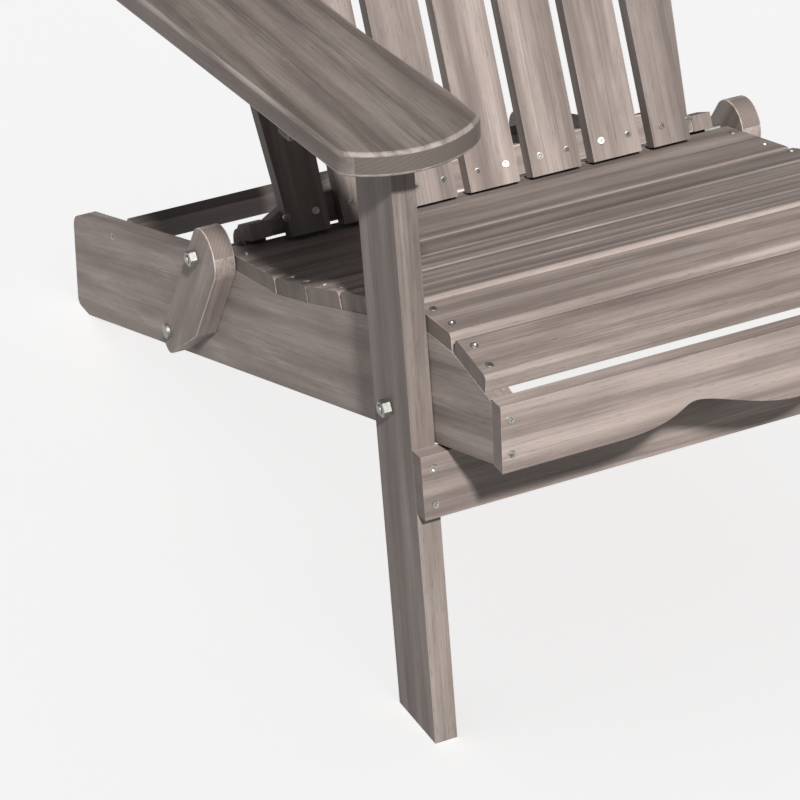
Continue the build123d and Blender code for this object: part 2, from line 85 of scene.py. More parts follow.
class ChairWood(bpy.types.PropertyGroup):
    board_ease: FloatProperty(
        name="Board edge",
        description="Radius sanded onto the edges of legs, rails, links and slats",
        default=1.8 * MM,
        min=0.3 * MM,
        max=4 * MM,
        unit="LENGTH",
    )
    arm_ease: FloatProperty(
        name="Arm edge",
        description="Radius sanded onto the edges of the arms",
        default=3.0 * MM,
        min=0.3 * MM,
        max=6 * MM,
        unit="LENGTH",
    )
    ease_steps: IntProperty(
        name="Edge steps",
        description="Facets across a sanded edge",
        default=3,
        min=1,
        max=6,
    )
    heart: FloatVectorProperty(
        name="Dark streaks",
        description="Colour of the dark growth bands under the wash",
        subtype="COLOR",
        size=3,
        default=linear("#564C48"),
    )
    middle: FloatVectorProperty(
        name="Wood",
        description="Colour of most of the washed wood",
        subtype="COLOR",
        size=3,
        default=linear("#6C625D"),
    )
    pale: FloatVectorProperty(
        name="Pale bands",
        description="Colour of the pale growth bands",
        subtype="COLOR",
        size=3,
        default=linear("#7F7570"),
    )
    # the wash colour also paints the edges pale, partly as wear and partly as a painted highlight
    wash: FloatVectorProperty(
        name="Wash",
        description="Colour of the pale grey wash left on the surface and rubbed onto the edges",
        subtype="COLOR",
        size=3,
        default=linear("#9C938E"),
    )
    pore: FloatVectorProperty(
        name="Pores",
        description="Colour of the open pores and checks",
        subtype="COLOR",
        size=3,
        default=linear("#3A302D"),
    )
    end_grain: FloatVectorProperty(
        name="End grain",
        description="Colour of the thirsty end grain",
        subtype="COLOR",
        size=3,
        default=linear("#564D48"),
    )


class ChairSteel(bpy.types.PropertyGroup):
    zinc: FloatVectorProperty(
        name="Zinc",
        description="Colour of the zinc-plated screws",
        subtype="COLOR",
        size=3,
        default=linear("#B9B7B2"),
    )
    galvanised: FloatVectorProperty(
        name="Galvanised steel",
        description="Colour of the bolts, washers and nuts",
        subtype="COLOR",
        size=3,
        default=linear("#A9A8A5"),
    )
    recess_depth: FloatProperty(
        name="Recess depth",
        description="Depth of the cross recess in a screw head",
        default=1.1 * MM,
        min=0.2 * MM,
        max=1.6 * MM,
        unit="LENGTH",
    )
    thread_pitch: FloatProperty(
        name="Thread pitch",
        description="Distance between the threads of a bolt end",
        default=1.25 * MM,
        min=0.5 * MM,
        max=2 * MM,
        unit="LENGTH",
    )


class ChairStudio(bpy.types.PropertyGroup):
    floor: FloatVectorProperty(
        name="Floor",
        description="Colour of the plain floor",
        subtype="COLOR",
        size=3,
        default=linear("#F4F3F2"),
    )
    key: FloatProperty(
        name="Key light",
        description="Strength of the main light",
        default=7.4,
        min=0,
        max=20,
    )
    fill: FloatProperty(
        name="Fill light",
        description="Strength of the light from all round",
        default=0.22,
        min=0,
        max=5,
    )


# ---- small helpers -------------------------------------------------------------


def add(tree, kind, inputs=(), **settings):
    """Adds a shader node, sets its settings and fills or links its inputs."""
    made = tree.nodes.new(kind)
    for key, value in settings.items():
        setattr(made, key, value)
    for key, value in dict(inputs).items():
        if isinstance(value, bpy.types.NodeSocket):
            tree.links.new(value, made.inputs[key])
        else:
            made.inputs[key].default_value = value
    return made


def new_material(name):
    """An empty node material and its tree, output and shader."""
    material = bpy.data.materials.new(name)
    material.use_nodes = True
    tree = material.node_tree
    tree.nodes.clear()
    shader = add(tree, "ShaderNodeBsdfPrincipled")
    add(tree, "ShaderNodeOutputMaterial", {"Surface": shader.outputs["BSDF"]})
    return material, tree, shader


def finish_piece(name, mesh, material, body, slot, *replaced):
    """Makes the mesh a piece of the chair that rides on a body and stands for CAD nodes."""
    piece = bpy.data.objects.new(name, mesh)
    bpy.context.scene.collection.objects.link(piece)
    mesh.materials.clear()
    mesh.materials.append(material)
    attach(piece, body)
    if replaced:
        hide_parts(*replaced)
    return piece


def merged_copy(node):
    """A bmesh of a CAD node with its loose triangles joined up."""
    shape = bmesh.new()
    shape.from_mesh(NODES[node].data)
    bmesh.ops.remove_doubles(shape, verts=shape.verts, dist=CAD_MERGE)
    return shape


# ---- grey-washed acacia ----------------------------------------------------------
# Plantation acacia, planed and sanded, then wiped with a pale grey oil wash. Its growth
# bands and open pores show as long streaks; the edges are painted pale with the wash, partly as wear
# and partly as a painted highlight along the rounded edges, and the end grain drinks oil and goes
# dark.

BAND_PERIOD = 34 * MM
BAND_STRETCH = 9.0  # how much longer than wide the flames are
STREAK = (330 * MM, 11 * MM)
FIBRE = (110 * MM, 2.2 * MM)
PORE = (13 * MM, 1.0 * MM)  # real pores are half as wide, too fine to show
PATCH = (190 * MM, 38 * MM)
RING_PERIOD = 3.2 * MM
GRAIN_DEPTH = 0.7 * MM
WAVE_UNIT = 0.314  # a wave texture of this scale has a period of one metre
OIL_IOR = 1.46

# board tones matched to how bright each board looks, so partly darker or paler stock and partly
# painted light and shade: the seat slats, rails and links are painted lighter and back slat 1 and the
# rear cross bar painted darker for how light falls on them
STOCK_AND_PAINTED_LIGHT_TONE = {
    "arm_left": 0.75,
    "arm_right": 0.8,
    "leg_left": 0.8,
    "leg_right": 0.9,
    "seat_rail_left": 1.2,
    "seat_rail_right": 1.15,
    "link_left": 1.15,
    "link_right": 1.2,
    "back_slat_1": 0.75,
    "back_slat_3": 0.86,
    "back_slat_5": 1.03,
    "back_slat_7": 0.84,
    "seat_slat_front": 1.04,
    "seat_slat_2": 1.12,
    "seat_slat_3": 1.32,
    "seat_slat_4": 1.2,
    "seat_slat_5": 1.25,
    "front_apron": 1.2,
    "rear_cross_bar": 0.55,
    "lower_stretcher": 0.98,
}


def acacia():
    """Grey-washed acacia, one material for every board, read in the board's own axes."""
    found = bpy.data.materials.get("grey_washed_acacia")
    if found:
        return found
    wood = bpy.context.scene.chair_wood
    heart, middle, pale, wash, pore, thirsty = (
        (*colour, 1.0)
        for colour in (wood.heart, wood.middle, wood.pale, wood.wash, wood.pore, wood.end_grain)
    )
    material, tree, shader = new_material("grey_washed_acacia")
    axes = add(tree, "ShaderNodeAttribute", attribute_name="board_axes").outputs["Vector"]
    tone = add(tree, "ShaderNodeAttribute", attribute_name="board_tone_and_painted_light").outputs["Fac"]
    wear_and_highlight = add(tree, "ShaderNodeAttribute", attribute_name="edge_wear_and_highlight").outputs["Fac"]
    ends = add(tree, "ShaderNodeAttribute", attribute_name="end_grain").outputs["Fac"]

    # growth bands, bent into long flames by slow waves along the board
    long_axes = add(
        tree,
        "ShaderNodeVectorMath",
        {0: axes, 1: (1 / BAND_STRETCH, 1.0, 1.0)},
        operation="MULTIPLY",
    )
    bands = add(
        tree,
        "ShaderNodeTexWave",
        {
            "Vector": long_axes.outputs["Vector"],
            "Scale": WAVE_UNIT / BAND_PERIOD,
            "Distortion": 9.0,
            "Detail": 4.0,
            "Detail Scale": 0.55,
            "Detail Roughness": 0.6,
        },
        wave_type="BANDS",
        bands_direction="Y",
    ).outputs["Fac"]

    # four sizes of noise, each stretched along the grain
    grain = {}
    for name, (along, across), detail, roughness, distortion in (
        ("streaks", STREAK, 4.0, 0.6, 0.3),
        ("fibres", FIBRE, 4.0, 0.65, 0.0),
        ("pores", PORE, 2.0, 0.5, 0.0),
        ("patches", PATCH, 4.0, 0.6, 0.0),
    ):
        stretched = add(
            tree,
            "ShaderNodeVectorMath",
            {0: axes, 1: (1 / along, 1 / across, 1 / across)},
            operation="MULTIPLY",
        )
        grain[name] = add(
            tree,
            "ShaderNodeTexNoise",
            {
                "Vector": stretched.outputs["Vector"],
                "Scale": 1.0,
                "Detail": detail,
                "Roughness": roughness,
                "Distortion": distortion,
            },
        ).outputs["Fac"]

    # the figure is a weighted sum of the patterns; the start centres the patches on nothing
    figure = -0.25
    for pattern, share in (
        (bands, 0.16),
        (grain["streaks"], 0.62),
        (grain["fibres"], 0.34),
        (grain["patches"], 0.5),
    ):
        figure = add(
            tree, "ShaderNodeMath", {0: pattern, 1: share, 2: figure}, operation="MULTIPLY_ADD"
        ).outputs["Value"]

    # soft thresholds: what lies between low and high runs from least to most
    level = {}
    for name, value, low, high, least, most in (
        ("figure", figure, 0.3, 0.84, 0.0, 1.0),
        ("open pores", grain["pores"], 0.62, 0.72, 0.0, 1.0),
        ("washed patches", grain["patches"], 0.48, 0.72, 0.0, 1.0),
        ("washed fibres", grain["fibres"], 0.42, 0.66, 0.0, 1.0),
        ("edge streaks", grain["streaks"], 0.36, 0.62, 0.15, 0.75),
    ):
        level[name] = add(
            tree,
            "ShaderNodeMapRange",
            {"Value": value, "From Min": low, "From Max": high, "To Min": least, "To Max": most},
            interpolation_type="SMOOTHSTEP",
        ).outputs["Result"]

    ramp = add(tree, "ShaderNodeValToRGB", {"Fac": level["figure"]})
    ramp.color_ramp.elements[0].color = heart
    ramp.color_ramp.elements[1].color = pale
    ramp.color_ramp.elements.new(0.48).color = middle

    # the end grain shows close rings
    rings = add(
        tree,
        "ShaderNodeTexWave",
        {
            "Vector": axes,
            "Scale": WAVE_UNIT / RING_PERIOD,
            "Distortion": 1.5,
            "Detail": 2.0,
            "Detail Scale": 0.4,
        },
        wave_type="RINGS",
        rings_direction="X",
    ).outputs["Fac"]

    # products of two values: how far each layer covers the wood
    cover = {}
    for name, value, factor in (
        ("rings", rings, 0.25),
        ("caught", level["washed patches"], level["washed fibres"]),
        ("pores", level["open pores"], 0.3),
        ("edge_wash_and_highlight", wear_and_highlight, level["edge streaks"]),
    ):
        cover[name] = add(
            tree, "ShaderNodeMath", {0: value, 1: factor}, operation="MULTIPLY"
        ).outputs["Value"]
    caught = add(tree, "ShaderNodeMath", {0: cover["caught"], 1: 0.3}, operation="MULTIPLY")
    end_face = add(
        tree, "ShaderNodeMix", {0: cover["rings"], 6: thirsty, 7: middle}, data_type="RGBA"
    )

    # wash caught between the fibres, dark pores, end grain, then pale edges: partly wear, partly a
    # painted highlight along the rounded edges
    colour = ramp.outputs["Color"]
    for amount, layer in (
        (caught.outputs["Value"], wash),
        (cover["pores"], pore),
        (ends, end_face.outputs[2]),
        (cover["edge_wash_and_highlight"], wash),
    ):
        colour = add(
            tree, "ShaderNodeMix", {0: amount, 6: colour, 7: layer}, data_type="RGBA"
        ).outputs[2]
    # each board's tone multiplies the colour, partly stock colour and partly painted light and shade
    shade = add(tree, "ShaderNodeCombineColor", {0: tone, 1: tone, 2: tone})
    toned = add(
        tree,
        "ShaderNodeMix",
        {0: 1.0, 6: colour, 7: shade.outputs["Color"]},
        data_type="RGBA",
        blend_type="MULTIPLY",
    )
    tree.links.new(toned.outputs[2], shader.inputs["Base Color"])

    # a matt oil finish: the hard dark bands stay a little smoother than the washed ones
    matt = add(
        tree,
        "ShaderNodeMapRange",
        {"Value": level["figure"], "To Min": 0.6, "To Max": 0.82},
        interpolation_type="SMOOTHSTEP",
    )
    tree.links.new(matt.outputs["Result"], shader.inputs["Roughness"])
    shader.inputs["IOR"].default_value = OIL_IOR

    height = 0.0
    for pattern, share in ((grain["fibres"], 0.6), (bands, 0.3), (level["open pores"], -0.45)):
        height = add(
            tree, "ShaderNodeMath", {0: pattern, 1: share, 2: height}, operation="MULTIPLY_ADD"
        ).outputs["Value"]
    bump = add(
        tree, "ShaderNodeBump", {"Height": height, "Strength": 0.45, "Distance": GRAIN_DEPTH}
    )
    tree.links.new(bump.outputs["Normal"], shader.inputs["Normal"])
    return material


# ---- boards ------------------------------------------------------------------------

SHARP_ANGLE = math.radians(26)
LEVEL_ANGLE = math.radians(1)
END_FACING = 0.8  # how squarely a face looks along the board to count as end grain

# where chance takes a board: its tone, and the place of its grain in metres
TONE_RANGE = (0.88, 1.08)
ALONG_RANGE = (0.0, 9.0)
ACROSS_RANGE = (-0.12, 0.12)
THROUGH_RANGE = (0.03, 0.08)


def eased_board(node, along, ease):
    """Stands for one CAD board: its edges are sanded round and its grain runs along it."""
    wood = bpy.context.scene.chair_wood
    draw = random.Random(node)
    shape = merged_copy(node)
    wear_and_highlight = shape.faces.layers.float.new("edge_wear_and_highlight")
    ends = shape.faces.layers.float.new("end_grain")
    tone = shape.faces.layers.float.new("board_tone_and_painted_light")
    axes = shape.verts.layers.float_vector.new("board_axes")
    bmesh.ops.dissolve_limit(
        shape,
        angle_limit=LEVEL_ANGLE,
        verts=shape.verts,
        edges=shape.edges,
    )
    sharp = [e for e in shape.edges if e.is_manifold and e.calc_face_angle() > SHARP_ANGLE]
    rounded = bmesh.ops.bevel(
        shape,
        geom=sharp,
        affect="EDGES",
        offset=ease,
        segments=wood.ease_steps,
        profile=0.5,
        clamp_overlap=True,
        material=-1,
    )
    # bevelled faces are marked for pale edges: partly wear, partly a painted highlight along the
    # rounded edges
    for face in rounded["faces"]:
        face[wear_and_highlight] = 1.0
    broad = max(shape.faces, key=lambda f: f.calc_area()).normal.copy()
    through = (broad - along * broad.dot(along)).normalized()
    across = through.cross(along)
    # listed tones are partly stock colour and partly painted light and shade for how light falls on
    # the board; other boards get a tone by chance
    level = STOCK_AND_PAINTED_LIGHT_TONE.get(node, draw.uniform(*TONE_RANGE))
    start = Vector([draw.uniform(*limits) for limits in (ALONG_RANGE, ACROSS_RANGE, THROUGH_RANGE)])
    for face in shape.faces:
        face.smooth = True
        face[tone] = level
        square_on = abs(face.normal.dot(along)) > END_FACING
        face[ends] = 1.0 if square_on and not face[wear_and_highlight] else 0.0
    for vert in shape.verts:
        local = Vector((vert.co.dot(along), vert.co.dot(across), vert.co.dot(through)))
        vert[axes] = local + start
    mesh = bpy.data.meshes.new(node + "_board")
    shape.to_mesh(mesh)
    shape.free()
    piece = finish_piece(node + "_board", mesh, acacia(), BODY_OF[node], "acacia", node)
    level_normals = piece.modifiers.new("flat_faces_stay_flat", "WEIGHTED_NORMAL")
    level_normals.keep_sharp = False
    level_normals.weight = 100
    return piece


# ---- steel ----------------------------------------------------------------------------

SPANGLE = 3.5 * MM
SCRATCH = 0.4 * MM
SCRATCH_DEPTH = 0.08 * MM


def steel(name, colour, roughness):
    """Zinc-plated or galvanised steel: dull, softly mottled, with fine handling marks."""
    found = bpy.data.materials.get(name)
    if found:
        return found
    material, tree, shader = new_material(name)
    place = add(tree, "ShaderNodeTexCoord").outputs["Object"]
    mottle = add(
        tree,
        "ShaderNodeTexNoise",
        {"Vector": place, "Scale": 1 / SPANGLE, "Detail": 3.0, "Roughness": 0.6},
    ).outputs["Fac"]
    scratches = add(
        tree,
        "ShaderNodeTexNoise",
        {"Vector": place, "Scale": 1 / SCRATCH, "Detail": 2.0, "Roughness": 0.7},
    ).outputs["Fac"]
    ramp = add(tree, "ShaderNodeValToRGB", {"Fac": mottle})
    ramp.color_ramp.elements[0].position = 0.3
    ramp.color_ramp.elements[0].color = (*[c * 0.62 for c in colour], 1.0)
    ramp.color_ramp.elements[1].position = 0.68
    ramp.color_ramp.elements[1].color = (*colour, 1.0)
    tree.links.new(ramp.outputs["Color"], shader.inputs["Base Color"])
    shader.inputs["Metallic"].default_value = 1.0
    dull = add(
        tree,
        "ShaderNodeMapRange",
        {
            "Value": scratches,
            "From Min": 0.3,
            "From Max": 0.7,
            "To Min": roughness - 0.1,
            "To Max": roughness + 0.15,
        },
    ).outputs["Result"]
    tree.links.new(dull, shader.inputs["Roughness"])
    bump = add(
        tree, "ShaderNodeBump", {"Height": scratches, "Strength": 0.25, "Distance": SCRATCH_DEPTH}
    )
    tree.links.new(bump.outputs["Normal"], shader.inputs["Normal"])
    return material


def zinc():
    """Bright zinc plating, gone dull outdoors."""
    return steel("dulled_zinc_plate", bpy.context.scene.chair_steel.zinc, 0.42)


def galvanised():
    """Hot-dip galvanised steel with its soft grey spangle."""
    return steel("galvanised_steel", bpy.context.scene.chair_steel.galvanised, 0.46)


def turned_to(axis, centre, twist=0.0):
    """A matrix that carries a shape standing on +Z at the origin to a place along an axis."""
    turn = axis.to_track_quat("Z", "Y").to_matrix().to_4x4()
    return Matrix.Translation(centre) @ turn @ Matrix.Rotation(twist, 4, "Z")


def islands(node):
    """Centre, lowest and highest corner and points of every separate solid of a CAD node."""
    shape = merged_copy(node)
    seen = set()
    found = []
    for start in shape.verts:
        if start in seen:
            continue
        seen.add(start)
        group, todo = [start], [start]
        while todo:
            for edge in todo.pop().link_edges:
                for vert in edge.verts:
                    if vert not in seen:
                        seen.add(vert)
                        group.append(vert)
                        todo.append(vert)
        low = Vector([min(v.co[i] for v in group) for i in range(3)])
        high = Vector([max(v.co[i] for v in group) for i in range(3)])
        found.append(((low + high) / 2, low, high, [v.co.copy() for v in group]))
    shape.free()
    return sorted(found, key=lambda f: (round(f[0].x, 4), round(f[0].y, 4), round(f[0].z, 4)))


HEAD_SIDES = 24
FLAT = 1e-7  # metres within which points count as level

# proportions of a screw head, by its radius, and of its recess, by its height
CROSS_ARM = 0.56
CROSS_SLOT = 0.17
RIM_CHAMFER = 0.09
CROSS_TAPER = 0.62  # the recess floor, by the recess mouth
DEEPEST_RECESS = 0.7


def screw_head(shape, place, radius, height, recess):
    """Adds a head with a chamfered rim and a cross recess to a bmesh, at a place."""
    arm, slot = radius * CROSS_ARM, radius * CROSS_SLOT
    circle = bmesh.ops.create_circle(shape, cap_ends=True, segments=HEAD_SIDES, radius=radius)
    bottom = next(f for f in circle["verts"][0].link_faces)
    raised = bmesh.ops.extrude_face_region(shape, geom=[bottom])["geom"]
    rim = [part for part in raised if isinstance(part, bmesh.types.BMVert)]
    cap = next(part for part in raised if isinstance(part, bmesh.types.BMFace))
    bmesh.ops.translate(shape, verts=rim, vec=Z * height)
    bmesh.ops.bevel(
        shape,
        geom=list(cap.edges),
        affect="EDGES",
        offset=radius * RIM_CHAMFER,
        segments=2,
        profile=0.5,
        material=-1,
    )

    # the flat of the head gives way to a ring around the cross
    level_faces = [f for f in shape.faces if abs(f.calc_center_median().z - height) < FLAT]
    cap = max(level_faces, key=lambda f: f.calc_area())
    bmesh.ops.delete(shape, geom=[cap], context="FACES_ONLY")
    rim_edges = [
        e
        for e in shape.edges
        if e.is_boundary and all(abs(v.co.z - height) < FLAT for v in e.verts)
    ]
    corners = [
        Matrix.Rotation(quarter * math.pi / 2, 2) @ Vector(point)
        for quarter in range(4)
        for point in ((arm, -slot), (arm, slot), (slot, slot))
    ]
    outline = []
    for here, following in zip(corners, corners[1:] + corners[:1]):
        outline.append(shape.verts.new((*here, height)))
        outline.append(shape.verts.new((*((here + following) / 2), height)))
    cross_edges = [shape.edges.new(pair) for pair in zip(outline, outline[1:] + outline[:1])]
    bmesh.ops.bridge_loops(shape, edges=rim_edges + cross_edges)

    # the cross goes down with sloping walls
    floor = shape.faces.new(outline)
    deeper = bmesh.ops.extrude_face_region(shape, geom=[floor])["geom"]
    sunk = [part for part in deeper if isinstance(part, bmesh.types.BMVert)]
    bmesh.ops.translate(shape, verts=sunk, vec=Z * -recess)
    bmesh.ops.scale(shape, verts=sunk, vec=Vector((CROSS_TAPER, CROSS_TAPER, 1)))
    if floor.is_valid:
        bmesh.ops.delete(shape, geom=[floor], context="FACES_ONLY")
    bmesh.ops.recalc_face_normals(shape, faces=shape.faces)
    bmesh.ops.transform(shape, matrix=place, verts=shape.verts)


def joined(shapes, name):
    """One mesh of several bmeshes."""
    whole = bmesh.new()
    for shape in shapes:
        part = bpy.data.meshes.new("part")
        shape.to_mesh(part)
        shape.free()
        whole.from_mesh(part)
        bpy.data.meshes.remove(part)
    mesh = bpy.data.meshes.new(name)
    whole.to_mesh(mesh)
    whole.free()
    return mesh


def screws(node, outward):
    """Stands for a CAD node of plain discs: cross-recess heads, each turned by chance."""
    draw = random.Random(node)
    recess = bpy.context.scene.chair_steel.recess_depth
    shapes = []
    for centre, _, _, points in islands(node):
        axis = outward(centre, points)
        reach = [(p - centre).dot(axis) for p in points]
        radius = max(((p - centre) - axis * (p - centre).dot(axis)).length for p in points)
        height = max(reach) - min(reach)
        seat = centre + axis * min(reach)
        shape = bmesh.new()
        place = turned_to(axis, seat, draw.uniform(0, math.pi))
        screw_head(shape, place, radius, height, min(recess, height * DEEPEST_RECESS))
        shapes.append(shape)
    mesh = joined(shapes, node + "_heads")
    return finish_piece(node + "_heads", mesh, zinc(), BODY_OF[node], "screw_steel", node)


RIM_SAMPLE = 40
RIM_STRIDE = 5
LEAST_AREA = 4e-6  # square metres: points more in line than this give no direction


def disc_axis(hint):
    """A function that estimates a flat disc's axis from its points, on the side of a hint."""

    def outward(centre, points):
        best = None
        for a in points[:RIM_SAMPLE]:
            for b in points[:RIM_SAMPLE:RIM_STRIDE]:
                normal = (a - centre).cross(b - centre)
                if normal.length <= LEAST_AREA:
                    continue
                reach = max(abs((p - centre).dot(normal.normalized())) for p in points)
                if best is None or reach < best[0]:
                    best = (reach, normal.normalized())
        axis = best[1]
        return axis if axis.dot(hint) > 0 else -axis

    return outward


def sideways(centre, _points):
    """Outward to the chair's nearer side."""
    return X if centre.x > 0 else -X


# ---- bolts, washers and nuts -------------------------------------------------------------

TURNED_MERGE = 0.005 * MM
BOLT_SIDES = 32
WASHER_SIDES = 40
END_REACH = 0.05 * MM  # points this near to a bolt's end belong to it
HEAD_HEIGHT = 4 * MM
DOME_STEPS = 6
THREADED = 11 * MM
WASHER_HOLE = 4.1 * MM
WASHER_AT_MOST = 3 * MM  # anything thicker is a nut
NUT_CORNER = 7.5 * MM
NUT_CHAMFER = 0.9 * MM
NUT_COUNTERSINK = 0.5 * MM


def turned_solid(shape, outline, steps):
    """Spins an outline of (radius, height) points about Z into a closed solid."""
    verts = [shape.verts.new((radius, 0, height)) for radius, height in outline]
    edges = [shape.edges.new(pair) for pair in zip(verts, verts[1:])]
    bmesh.ops.spin(
        shape,
        geom=verts + edges,
        cent=(0, 0, 0),
        axis=(0, 0, 1),
        angle=2 * math.pi,
        steps=steps,
        use_merge=True,
    )
    bmesh.ops.remove_doubles(shape, verts=shape.verts, dist=TURNED_MERGE)
    bmesh.ops.recalc_face_normals(shape, faces=shape.faces)


def thread(radius, start, end, pitch):
    """The outline of a threaded length as shallow ridges."""
    points, height = [], start
    depth = pitch * 0.45
    while height + pitch <= end:
        points += [
            (radius, height),
            (radius, height + pitch * 0.12),
            (radius - depth, height + pitch * 0.5),
        ]
        height += pitch
    return points + [(radius, height), (radius - depth, end)]


def carriage_bolt(shape, place, radius, head_radius, length):
    """Adds a bolt that stands on Z: domed head below the origin, shank, threaded end."""
    pitch = bpy.context.scene.chair_steel.thread_pitch
    outline = [(0.0, -HEAD_HEIGHT)]
    for step in range(1, DOME_STEPS + 1):
        turn = math.pi / 2 * step / DOME_STEPS
        outline.append((head_radius * math.sin(turn), -HEAD_HEIGHT * math.cos(turn)))
    outline.append((radius, 0.0))
    outline += thread(radius, length - THREADED, length, pitch)
    outline.append((0.0, length))
    turned_solid(shape, outline, BOLT_SIDES)
    bmesh.ops.transform(shape, matrix=place, verts=shape.verts)


def washer(shape, place, radius, hole, thickness):
    """A flat washer with rolled edges."""
    roll = thickness * 0.3
    outline = [
        (hole, roll),
        (hole + roll, 0.0),
        (radius - roll, 0.0),
        (radius, roll),
        (radius, thickness - roll),
        (radius - roll, thickness),
        (hole + roll, thickness),
        (hole, thickness - roll),
        (hole, roll),
    ]
    turned_solid(shape, outline, WASHER_SIDES)
    bmesh.ops.transform(shape, matrix=place, verts=shape.verts)


def nut(shape, place, height):
    """Adds a hexagon nut with chamfered corners and sunk faces."""
    made = bmesh.ops.create_cone(
        shape,
        cap_ends=True,
        segments=6,
        radius1=NUT_CORNER,
        radius2=NUT_CORNER,
        depth=height,
    )
    bmesh.ops.translate(shape, verts=made["verts"], vec=Z * (height / 2))
    caps = [f for f in shape.faces if abs(f.normal.z) > 0.9]
    bmesh.ops.inset_individual(shape, faces=caps, thickness=NUT_CORNER * 0.12, depth=0.0)
    for vert in shape.verts:
        if vert.co.xy.length > NUT_CORNER * 0.99:
            vert.co.z += NUT_CHAMFER * (1 if vert.co.z < height / 2 else -1)
    bmesh.ops.inset_individual(shape, faces=caps, thickness=NUT_CORNER * 0.28, depth=0.0)
    bmesh.ops.inset_individual(
        shape, faces=caps, thickness=NUT_CORNER * 0.03, depth=-NUT_COUNTERSINK
    )
    bmesh.ops.transform(shape, matrix=place, verts=shape.verts)


def steel_piece(shapes, node, ending, sharp_angle):
    """Joins turned or cut steel shapes into the piece that stands for a CAD node."""
    mesh = joined(shapes, node + ending)
    mesh.shade_smooth()
    mesh.set_sharp_from_angle(angle=math.radians(sharp_angle))
    finish_piece(node + ending, mesh, galvanised(), BODY_OF[node], "bolt_steel", node)


def pivot_hardware(bolts, nuts):
    """Stands for a pair of pivot bolts with their washers and nuts."""
    shapes = []
    for centre, low, high, points in islands(bolts):
        side = 1 if centre.x > 0 else -1
        inner, outer = (low.x, high.x) if side > 0 else (high.x, low.x)
        radius, head_radius = (
            max((p.yz - centre.yz).length for p in points if abs(p.x - end) < END_REACH)
            for end in (outer, inner)
        )
        length = abs(outer - inner) - HEAD_HEIGHT
        start = Vector((inner + side * HEAD_HEIGHT, centre.y, centre.z))
        shape = bmesh.new()
        carriage_bolt(shape, turned_to(X * side, start), radius, head_radius, length)
        shapes.append(shape)
    steel_piece(shapes, bolts, "_turned", 32)

    draw = random.Random(nuts)
    shapes = []
    for centre, low, high, _ in islands(nuts):
        side = 1 if centre.x > 0 else -1
        near = low.x if side > 0 else high.x
        thickness = high.x - low.x
        start = Vector((near, centre.y, centre.z))
        shape = bmesh.new()
        if thickness < WASHER_AT_MOST:
            washer(shape, turned_to(X * side, start), (high.y - low.y) / 2, WASHER_HOLE, thickness)
        else:
            nut(shape, turned_to(X * side, start, draw.uniform(0, 1)), thickness)
        shapes.append(shape)
    steel_piece(shapes, nuts, "_cut", 28)


# ---- operators -------------------------------------------------------------------------------


class CHAIR_OT_seat(bpy.types.Operator):
    """Seat rails, cross bar, scooped seat slats, rear seat board and apron"""

    bl_idname = "chair.seat"
    bl_label = "Seat"

    def execute(self, context):
        ease = context.scene.chair_wood.board_ease
        for side in ("left", "right"):
            eased_board("seat_rail_" + side, DOWN_THE_RAIL, ease)
        for node in ("rear_cross_bar", "front_apron"):
            eased_board(node, X, ease * 0.7)
        slats = ["seat_slat_front"] + ["seat_slat_%d" % n for n in range(2, 7)] + ["seat_board_rear"]
        for node in slats:
            eased_board(node, X, ease * 0.6)
        return {"FINISHED"}


class CHAIR_OT_legs(bpy.types.Operator):
    """Front legs and the stretcher between them"""

    bl_idname = "chair.legs"
    bl_label = "Legs"

    def execute(self, context):
        ease = context.scene.chair_wood.board_ease
        for side in ("left", "right"):
            eased_board("leg_" + side, UP_THE_LEG, ease)
        eased_board("lower_stretcher", X, ease * 0.8)
        return {"FINISHED"}


class CHAIR_OT_links(bpy.types.Operator):
    """The short swinging planks that carry the back"""

    bl_idname = "chair.links"
    bl_label = "Links"

    def execute(self, context):
        for side in ("left", "right"):
            eased_board("link_" + side, DOWN_THE_LINK, context.scene.chair_wood.board_ease)
        return {"FINISHED"}


class CHAIR_OT_back(bpy.types.Operator):
    """Seven back slats, their three rails and the cheeks at the foot"""

    bl_idname = "chair.back"
    bl_label = "Back"

    def execute(self, context):
        ease = context.scene.chair_wood.board_ease
        for number in range(1, 8):
            eased_board("back_slat_%d" % number, UP_THE_BACK, ease)
        for level in ("lower", "arm", "upper"):
            eased_board("back_rail_" + level, X, ease * 0.8)
        for side in ("left", "right"):
            eased_board("back_cheek_" + side, UP_THE_BACK, ease * 0.6)
        return {"FINISHED"}


class CHAIR_OT_arms(bpy.types.Operator):
    """Broad arms with the blocks, cleats and brackets under them"""

    bl_idname = "chair.arms"
    bl_label = "Arms"

    def execute(self, context):
        wood = context.scene.chair_wood
        for side in ("left", "right"):
            eased_board("arm_" + side, Y, wood.arm_ease)
            eased_board("arm_block_" + side, Y, wood.board_ease * 0.6)
            eased_board("arm_cleat_" + side, X, wood.board_ease * 0.6)
            eased_board("arm_bracket_" + side, Y, wood.board_ease * 0.6)
        return {"FINISHED"}


class CHAIR_OT_screws(bpy.types.Operator):
    """Countersunk screws in the slats, apron, stretcher, bar and back"""

    bl_idname = "chair.screws"
    bl_label = "Screws"

    def execute(self, context):
        screws("seat_screws", disc_axis(Z))
        screws("apron_screws", disc_axis(-Y))
        screws("stretcher_screws", disc_axis(-Y))
        screws("back_screws", disc_axis(-Y))
        screws("bar_screws", sideways)
        return {"FINISHED"}


